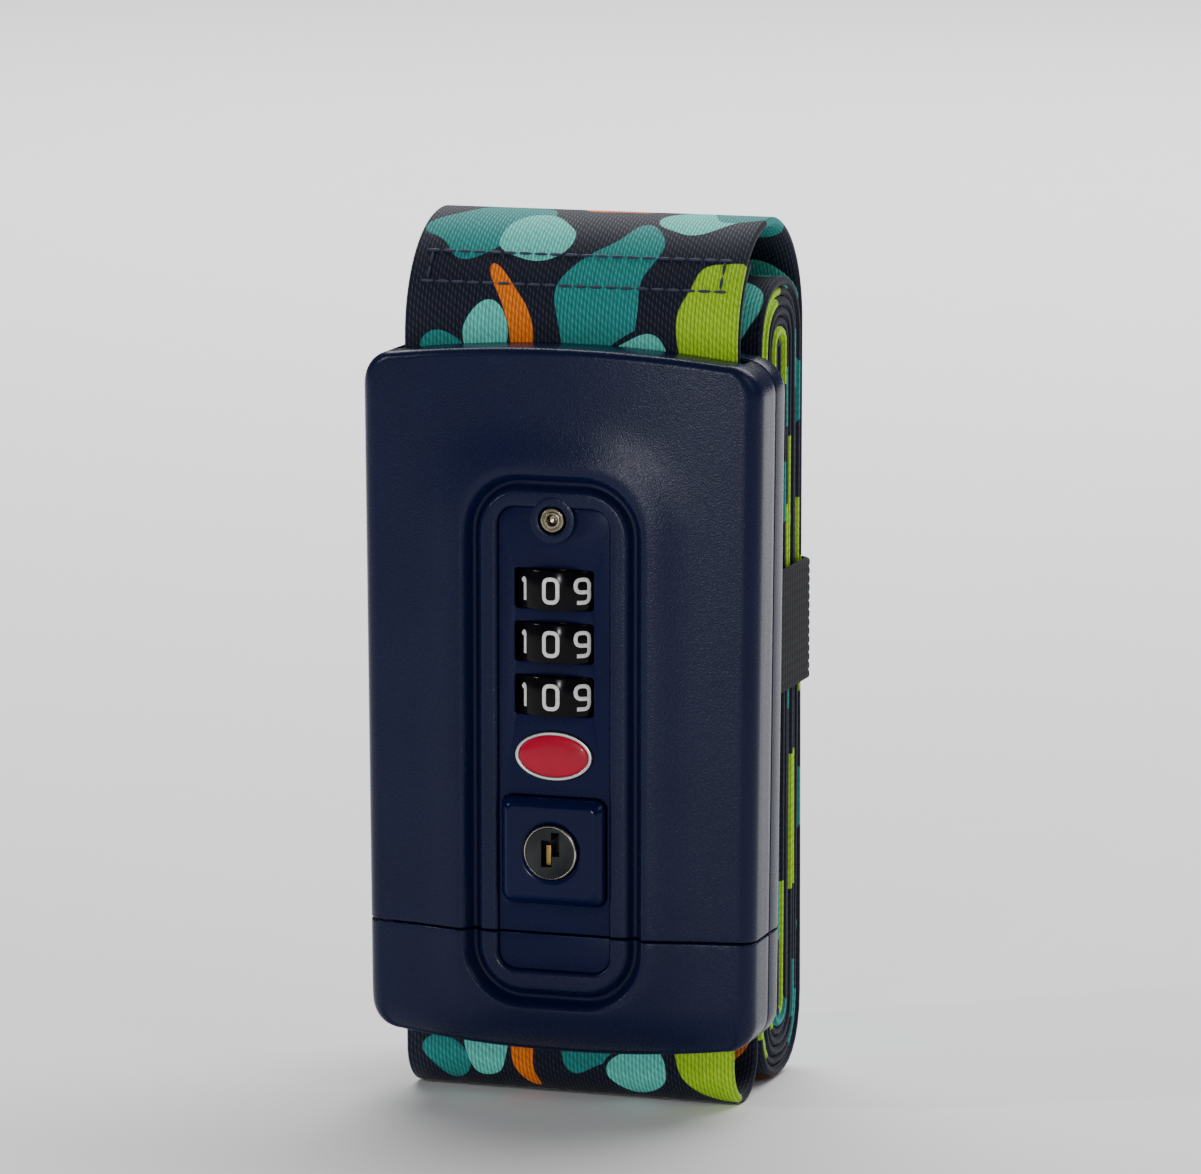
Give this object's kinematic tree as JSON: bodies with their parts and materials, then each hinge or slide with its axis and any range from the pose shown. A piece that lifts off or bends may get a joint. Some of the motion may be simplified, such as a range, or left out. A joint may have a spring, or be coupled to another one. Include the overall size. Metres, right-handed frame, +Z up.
{
  "type": "luggage strap",
  "caption": "Printed luggage strap folded for storage, closed by a navy buckle with a combination lock, key plug and release button.",
  "frame": {"origin": "bottom centre of the whole strap's box, on the surface it stands on", "axes": "+Z up along the buckle, the buckle's face looks towards -Y, +X to the right seen from the front"},
  "size_m": [0.06, 0.0442, 0.128],
  "materials": {
    "navy_plastic": "fine-grained satin",
    "deep_blue_plastic": "satin",
    "black_dial_plastic": "gloss",
    "steel": "satin",
    "nickel": "dull nickel plate",
    "zinc_plated_steel": "zinc plate",
    "brass": "satin",
    "red_enamel": "glossy enamel in a silver rim",
    "printed_webbing": "printed polyester twill webbing",
    "black_elastic": "ribbed elastic"
  },
  "bodies": {
    "base": {"tongue_front": "navy_plastic", "tongue_back": "navy_plastic", "tongue_inlay": "deep_blue_plastic", "tongue_fork": "steel", "adjuster_bar": "steel", "tongue_screw_1": "zinc_plated_steel", "tongue_screw_2": "zinc_plated_steel", "webbing_bottom_run": "printed_webbing", "webbing_pack": "printed_webbing", "elastic_keeper": "black_elastic"},
    "buckle": {"housing_front": "navy_plastic", "housing_back": "navy_plastic", "lock_panel": "deep_blue_plastic", "emblem_badge": "red_enamel", "lock_frame": "zinc_plated_steel", "click_spring": "steel", "webbing_bar": "steel", "webbing_top_run": "printed_webbing", "housing_screw_1": "zinc_plated_steel", "housing_screw_2": "zinc_plated_steel", "housing_screw_3": "zinc_plated_steel", "housing_screw_4": "zinc_plated_steel", "shaft_spring": "steel", "reset_spring": "steel", "latch_spring": "steel"},
    "dial_one": {"dial_1": "black_dial_plastic", "dial_sleeve_1": "brass"},
    "dial_two": {"dial_2": "black_dial_plastic", "dial_sleeve_2": "brass"},
    "dial_three": {"dial_3": "black_dial_plastic", "dial_sleeve_3": "brass"},
    "shaft": {"dial_shaft": "steel"},
    "reset": {"reset_pin": "nickel"},
    "button": {"release_button": "deep_blue_plastic", "fence_bar": "zinc_plated_steel", "button_spring_1": "steel", "button_spring_2": "steel"},
    "plug": {"key_plug": "nickel", "plug_cam": "zinc_plated_steel"},
    "latch": {"latch_plate": "zinc_plated_steel"}
  },
  "joints": [
    {"name": "buckle_release", "type": "slide", "parent": "base", "child": "buckle", "axis": [0, 0, 1], "range_m": [0, 0.024]},
    {"name": "dial_1_spin", "type": "hinge", "parent": "buckle", "child": "dial_one", "pos_m": [0, -0.01415, 0.0763], "axis": [0, 0, 1], "continuous": true},
    {"name": "dial_2_spin", "type": "hinge", "parent": "buckle", "child": "dial_two", "pos_m": [0, -0.01415, 0.06858], "axis": [0, 0, 1], "continuous": true},
    {"name": "dial_3_spin", "type": "hinge", "parent": "buckle", "child": "dial_three", "pos_m": [0, -0.01415, 0.06086], "axis": [0, 0, 1], "continuous": true},
    {"name": "reset_push", "type": "slide", "parent": "buckle", "child": "reset", "axis": [0, 1, 0], "range_m": [0, 0.0012], "stiffness_N_per_m": 300},
    {"name": "shaft_shift", "type": "slide", "parent": "buckle", "child": "shaft", "axis": [0, 0, -1], "range_m": [0, 0.001]},
    {"name": "button_press", "type": "slide", "parent": "buckle", "child": "button", "axis": [0, 1, 0], "range_m": [0, 0.002], "stiffness_N_per_m": 600},
    {"name": "latch_slide", "type": "slide", "parent": "buckle", "child": "latch", "axis": [-1, 0, 0], "range_m": [0, 0.002]},
    {"name": "key_turn", "type": "hinge", "parent": "button", "child": "plug", "pos_m": [0, -0.0221, 0.0383], "axis": [0, 1, 0], "range_deg": [0, 90]}
  ],
  "couplings": [
    {"joint": "latch_slide", "follows": "button_press", "ratio": 1},
    {"joint": "shaft_shift", "follows": "reset_push", "ratio": 0.8}
  ]
}
